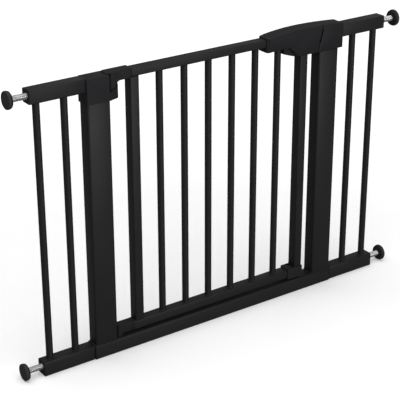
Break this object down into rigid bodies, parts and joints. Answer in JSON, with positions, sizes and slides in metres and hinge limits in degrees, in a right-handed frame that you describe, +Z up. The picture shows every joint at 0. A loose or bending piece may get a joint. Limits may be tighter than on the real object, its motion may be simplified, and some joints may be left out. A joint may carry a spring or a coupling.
{
  "type": "safety baby gate",
  "caption": "Black pressure-fit safety baby gate with round steel bars, a two-way swinging door, a squeeze-release top handle and threaded wall pads.",
  "frame": {"origin": "middle of the bounding box at floor level", "axes": "+X across the doorway from the hinge side to the latch side, +Y through the doorway away from the front, +Z up"},
  "size_m": [1.148, 0.044, 0.742],
  "materials": {
    "painted_steel": "satin black powder coat",
    "black_plastic": "fine-grained black moulding",
    "pad_rubber": "matt black rubber",
    "zinc_steel": "bright zinc plate"
  },
  "bodies": {
    "frame": {"left_post": "painted_steel", "right_post": "painted_steel", "frame_bottom_rail": "painted_steel", "bottom_hinge_bush": "black_plastic", "left_panel_top_rail": "painted_steel", "left_panel_bottom_rail": "painted_steel", "right_panel_top_rail": "painted_steel", "right_panel_bottom_rail": "painted_steel", "left_panel_bar_1": "painted_steel", "left_panel_bar_2": "painted_steel", "right_panel_bar_1": "painted_steel", "right_panel_bar_2": "painted_steel", "left_top_joiner": "black_plastic", "left_bottom_joiner": "black_plastic", "right_top_joiner": "black_plastic", "right_bottom_joiner": "black_plastic", "left_top_insert": "black_plastic", "left_bottom_insert": "black_plastic", "right_top_insert": "black_plastic", "right_bottom_insert": "black_plastic", "hinge_cap": "black_plastic", "latch_head": "black_plastic", "bottom_keeper": "black_plastic"},
    "hinge_pins": {"upper_hinge_pin": "zinc_steel", "lower_hinge_pin": "zinc_steel"},
    "door": {"door_top_rail": "painted_steel", "door_bottom_rail": "painted_steel", "door_hinge_stile": "painted_steel", "door_latch_stile": "painted_steel", "door_bar_1": "painted_steel", "door_bar_2": "painted_steel", "door_bar_3": "painted_steel", "door_bar_4": "painted_steel", "door_bar_5": "painted_steel", "door_bar_6": "painted_steel", "upper_hinge_elbow": "black_plastic", "lower_hinge_elbow": "black_plastic", "door_bottom_shoe": "black_plastic", "handle_front_shell": "black_plastic", "handle_rear_shell": "black_plastic", "handle_screw_1": "zinc_steel", "handle_screw_2": "zinc_steel", "lever_pivot_pin": "zinc_steel"},
    "release_lever": {"release_lever": "black_plastic"},
    "latch_bolt": {"latch_bolt": "zinc_steel", "bolt_spring": "zinc_steel"},
    "left_top_wall_pad": {"left_top_pad": "pad_rubber", "left_top_pad_hub": "black_plastic"},
    "left_top_spindle": {"left_top_spindle": "zinc_steel"},
    "left_bottom_wall_pad": {"left_bottom_pad": "pad_rubber", "left_bottom_pad_hub": "black_plastic"},
    "left_bottom_spindle": {"left_bottom_spindle": "zinc_steel"},
    "right_top_wall_pad": {"right_top_pad": "pad_rubber", "right_top_pad_hub": "black_plastic"},
    "right_top_spindle": {"right_top_spindle": "zinc_steel"},
    "right_bottom_wall_pad": {"right_bottom_pad": "pad_rubber", "right_bottom_pad_hub": "black_plastic"},
    "right_bottom_spindle": {"right_bottom_spindle": "zinc_steel"}
  },
  "joints": [
    {"name": "door_lift", "type": "slide", "parent": "frame", "child": "hinge_pins", "axis": [0, 0, 1], "range_m": [0, 0.01]},
    {"name": "door_swing", "type": "hinge", "parent": "hinge_pins", "child": "door", "pos_m": [-0.3037, 0, 0.4], "axis": [0, 0, 1], "range_deg": [-90, 90]},
    {"name": "lever_squeeze", "type": "hinge", "parent": "door", "child": "release_lever", "pos_m": [0.199, 0, 0.702], "axis": [0, -1, 0], "range_deg": [0, 12]},
    {"name": "bolt_draw", "type": "slide", "parent": "door", "child": "latch_bolt", "axis": [1, 0, 0], "range_m": [-0.0024, 0], "stiffness_N_per_m": 400, "springref_m": 0.003, "deforming": ["bolt_spring"]},
    {"name": "left_top_extend", "type": "slide", "parent": "frame", "child": "left_top_wall_pad", "axis": [-1, 0, 0], "range_m": [-0.035, 0.02]},
    {"name": "left_top_turn", "type": "hinge", "parent": "left_top_wall_pad", "child": "left_top_spindle", "pos_m": [-0.5, 0, 0.7132], "axis": [-1, 0, 0], "range_deg": [-3160, 1810]},
    {"name": "left_bottom_extend", "type": "slide", "parent": "frame", "child": "left_bottom_wall_pad", "axis": [-1, 0, 0], "range_m": [-0.035, 0.02]},
    {"name": "left_bottom_turn", "type": "hinge", "parent": "left_bottom_wall_pad", "child": "left_bottom_spindle", "pos_m": [-0.5, 0, 0.0215], "axis": [-1, 0, 0], "range_deg": [-3160, 1810]},
    {"name": "right_top_extend", "type": "slide", "parent": "frame", "child": "right_top_wall_pad", "axis": [1, 0, 0], "range_m": [-0.035, 0.02]},
    {"name": "right_top_turn", "type": "hinge", "parent": "right_top_wall_pad", "child": "right_top_spindle", "pos_m": [0.5, 0, 0.7132], "axis": [1, 0, 0], "range_deg": [-3160, 1810]},
    {"name": "right_bottom_extend", "type": "slide", "parent": "frame", "child": "right_bottom_wall_pad", "axis": [1, 0, 0], "range_m": [-0.035, 0.02]},
    {"name": "right_bottom_turn", "type": "hinge", "parent": "right_bottom_wall_pad", "child": "right_bottom_spindle", "pos_m": [0.5, 0, 0.0215], "axis": [1, 0, 0], "range_deg": [-3160, 1810]}
  ],
  "couplings": [
    {"joint": "lever_squeeze", "follows": "bolt_draw", "rad_per_m": -87},
    {"joint": "left_top_turn", "follows": "left_top_extend", "rad_per_m": 1570.8},
    {"joint": "left_bottom_turn", "follows": "left_bottom_extend", "rad_per_m": 1570.8},
    {"joint": "right_top_turn", "follows": "right_top_extend", "rad_per_m": 1570.8},
    {"joint": "right_bottom_turn", "follows": "right_bottom_extend", "rad_per_m": 1570.8}
  ]
}
